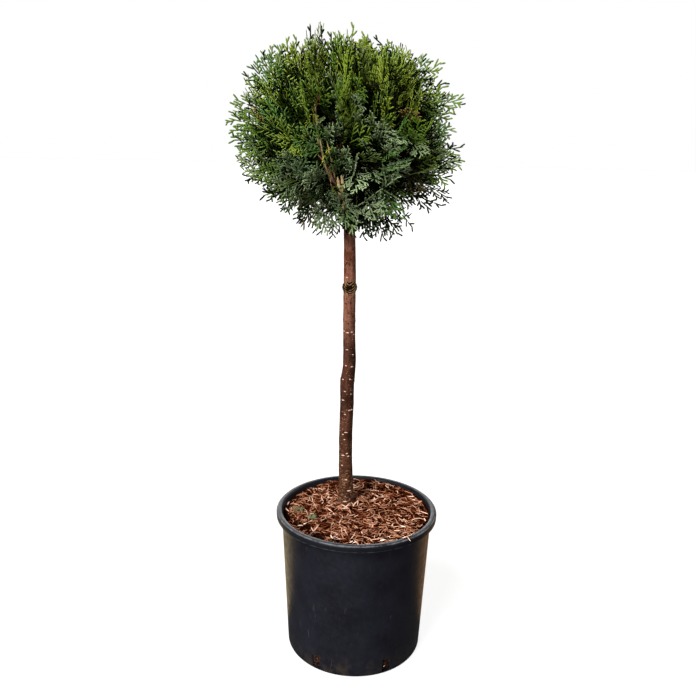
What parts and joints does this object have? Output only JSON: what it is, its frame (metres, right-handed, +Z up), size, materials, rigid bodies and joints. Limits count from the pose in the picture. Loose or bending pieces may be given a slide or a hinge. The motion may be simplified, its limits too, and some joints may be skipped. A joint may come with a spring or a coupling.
{
  "type": "potted thuja half-standard",
  "caption": "Loose ball of flat evergreen sprays on a straight bare stem, in a round black plastic nursery pot with bark mulch on its soil.",
  "frame": {"origin": "centre of the pot's flat underside, which stands on the ground", "axes": "+Z up along the pot's axis; +Y away from the side that the picture shows; +X to the right in it"},
  "size_m": [0.455, 0.433, 1.2858],
  "materials": {
    "pot_plastic": "black blow-moulded plastic with a satin sheen, worn grey on the rim",
    "soil": "moist dark compost, rough",
    "mulch": "shredded red-brown bark, rough",
    "bark": "red-brown bark with fine fissures and small pale lenticels",
    "foliage_bright": "bright yellow-green scale foliage",
    "foliage_sunlit": "yellow-green scale foliage",
    "foliage_green": "mid-green scale foliage",
    "foliage_grey_green": "grey-green shaded scale foliage with pale undersides"
  },
  "bodies": {
    "root": {"pot": "pot_plastic", "soil": "soil", "mulch": "mulch", "trunk": "bark", "bough_upper_1": "bark", "bough_upper_2": "bark", "bough_upper_3": "bark", "bough_upper_4": "bark", "bough_upper_5": "bark", "bough_middle_1": "bark", "bough_middle_2": "bark", "bough_middle_3": "bark", "bough_middle_4": "bark", "bough_middle_5": "bark", "bough_middle_6": "bark", "bough_lower_1": "bark", "bough_lower_2": "bark", "bough_lower_3": "bark", "bough_lower_4": "bark", "foliage_top": "foliage_bright", "foliage_upper_1": "foliage_sunlit", "foliage_upper_2": "foliage_sunlit", "foliage_upper_3": "foliage_sunlit", "foliage_upper_4": "foliage_sunlit", "foliage_upper_5": "foliage_sunlit", "foliage_middle_1": "foliage_green", "foliage_middle_2": "foliage_green", "foliage_middle_3": "foliage_green", "foliage_middle_4": "foliage_green", "foliage_middle_5": "foliage_green", "foliage_middle_6": "foliage_green", "foliage_lower_1": "foliage_grey_green", "foliage_lower_2": "foliage_grey_green", "foliage_lower_3": "foliage_grey_green", "foliage_lower_4": "foliage_grey_green"}
  },
  "joints": []
}
